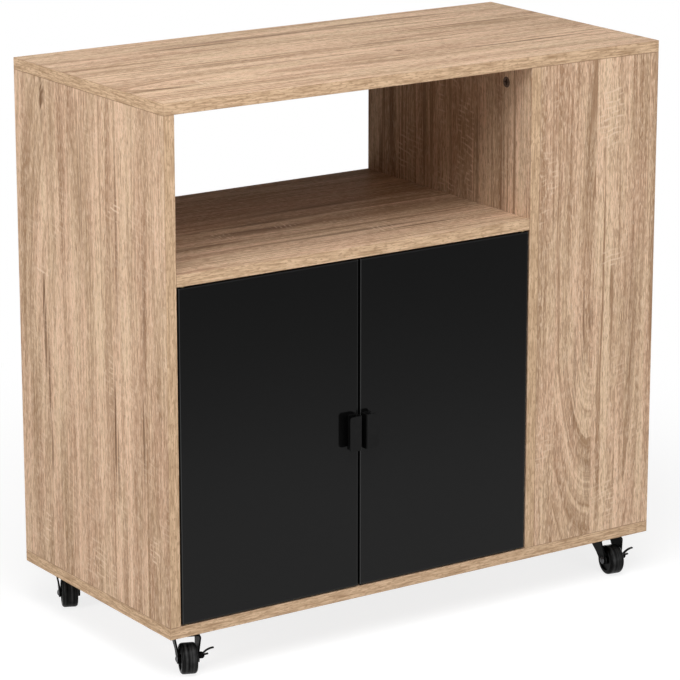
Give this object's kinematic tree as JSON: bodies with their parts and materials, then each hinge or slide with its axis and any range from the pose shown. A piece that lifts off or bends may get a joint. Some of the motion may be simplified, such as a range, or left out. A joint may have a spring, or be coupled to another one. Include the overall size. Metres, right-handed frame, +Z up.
{
  "type": "kitchen trolley",
  "caption": "Kitchen trolley on swivel casters with a worktop, an open niche above a cabinet with black doors, and open shelves at one end.",
  "frame": {"origin": "on the floor, under the middle of the overall box", "axes": "+Z up, +X to the right seen from the front, the doors face -Y"},
  "size_m": [0.8, 0.402, 0.774],
  "materials": {
    "oak_board": "melamine oak decor, satin",
    "black_board": "melamine black, satin",
    "back_board": "printed fibreboard",
    "black_metal": "black coat, satin",
    "wheel_black": "moulded black, glossy",
    "lever_black": "moulded black",
    "steel": "zinc plated",
    "zinc": "die cast zinc",
    "brass": "plain brass",
    "beech": "raw beech",
    "nylon": "natural nylon",
    "catch_plastic": "moulded brown",
    "magnet": "sintered ferrite"
  },
  "bodies": {
    "carcass": {"top_panel": "oak_board", "bottom_panel": "oak_board", "left_side_panel": "oak_board", "divider_panel": "oak_board", "middle_shelf": "oak_board", "column_front_panel": "oak_board", "column_rear_panel": "oak_board", "inner_shelf": "oak_board", "end_shelf_lower": "oak_board", "end_shelf_upper": "oak_board", "cabinet_back_panel": "back_board", "cam_locks": "zinc", "cam_bolts": "steel", "wood_dowels": "beech", "shelf_pins": "steel", "pivot_bushes": "brass", "door_catches": "catch_plastic", "catch_magnets": "magnet", "catch_screws": "steel", "front_left_caster_plate": "black_metal", "front_right_caster_plate": "black_metal", "rear_left_caster_plate": "black_metal", "rear_right_caster_plate": "black_metal", "caster_kingpins": "steel", "swivel_bearings": "nylon", "caster_screws": "steel"},
    "left_door": {"left_door_panel": "black_board", "left_pull": "black_metal", "left_pull_screws": "steel", "left_pivot_pins": "steel", "left_strike_plate": "steel", "left_strike_screw": "steel"},
    "right_door": {"right_door_panel": "black_board", "right_pull": "black_metal", "right_pull_screws": "steel", "right_pivot_pins": "steel", "right_strike_plate": "steel", "right_strike_screw": "steel"},
    "front_left_swivel": {"front_left_fork": "black_metal", "front_left_axle": "steel", "front_left_brake_pin": "steel"},
    "front_left_wheel": {"front_left_wheel": "wheel_black"},
    "front_left_brake": {"front_left_brake_lever": "lever_black"},
    "front_right_swivel": {"front_right_fork": "black_metal", "front_right_axle": "steel", "front_right_brake_pin": "steel"},
    "front_right_wheel": {"front_right_wheel": "wheel_black"},
    "front_right_brake": {"front_right_brake_lever": "lever_black"},
    "rear_left_swivel": {"rear_left_fork": "black_metal", "rear_left_axle": "steel"},
    "rear_left_wheel": {"rear_left_wheel": "wheel_black"},
    "rear_right_swivel": {"rear_right_fork": "black_metal", "rear_right_axle": "steel"},
    "rear_right_wheel": {"rear_right_wheel": "wheel_black"}
  },
  "joints": [
    {"name": "left_door_hinge", "type": "hinge", "parent": "carcass", "child": "left_door", "pos_m": [-0.3738, -0.1815, 0.076], "axis": [0, 0, -1], "range_deg": [0, 110]},
    {"name": "right_door_hinge", "type": "hinge", "parent": "carcass", "child": "right_door", "pos_m": [0.1698, -0.1815, 0.076], "axis": [0, 0, 1], "range_deg": [0, 110]},
    {"name": "front_left_swivel_turn", "type": "hinge", "parent": "carcass", "child": "front_left_swivel", "pos_m": [-0.355, -0.15, 0.06], "axis": [0, 0, 1], "continuous": true},
    {"name": "front_left_wheel_roll", "type": "hinge", "parent": "front_left_swivel", "child": "front_left_wheel", "pos_m": [-0.36123, -0.16582, 0.021], "axis": [0.9304, -0.3665, 0], "continuous": true},
    {"name": "front_left_brake_press", "type": "hinge", "parent": "front_left_swivel", "child": "front_left_brake", "pos_m": [-0.3443, -0.17249, 0.024], "axis": [0.3665, 0.9304, 0], "range_deg": [0, 20]},
    {"name": "front_right_swivel_turn", "type": "hinge", "parent": "carcass", "child": "front_right_swivel", "pos_m": [0.355, -0.15, 0.06], "axis": [0, 0, 1], "continuous": true},
    {"name": "front_right_wheel_roll", "type": "hinge", "parent": "front_right_swivel", "child": "front_right_wheel", "pos_m": [0.35219, -0.16677, 0.021], "axis": [0.9863, -0.165, 0], "continuous": true},
    {"name": "front_right_brake_press", "type": "hinge", "parent": "front_right_swivel", "child": "front_right_brake", "pos_m": [0.37015, -0.16977, 0.024], "axis": [0.165, 0.9863, 0], "range_deg": [0, 20]},
    {"name": "rear_left_swivel_turn", "type": "hinge", "parent": "carcass", "child": "rear_left_swivel", "pos_m": [-0.355, 0.164, 0.06], "axis": [0, 0, 1], "continuous": true},
    {"name": "rear_left_wheel_roll", "type": "hinge", "parent": "rear_left_swivel", "child": "rear_left_wheel", "pos_m": [-0.36205, 0.14853, 0.021], "axis": [0.91, -0.4147, 0], "continuous": true},
    {"name": "rear_right_swivel_turn", "type": "hinge", "parent": "carcass", "child": "rear_right_swivel", "pos_m": [0.355, 0.164, 0.06], "axis": [0, 0, 1], "continuous": true},
    {"name": "rear_right_wheel_roll", "type": "hinge", "parent": "rear_right_swivel", "child": "rear_right_wheel", "pos_m": [0.3506, 0.14758, 0.021], "axis": [0.9659, -0.2588, 0], "continuous": true}
  ]
}
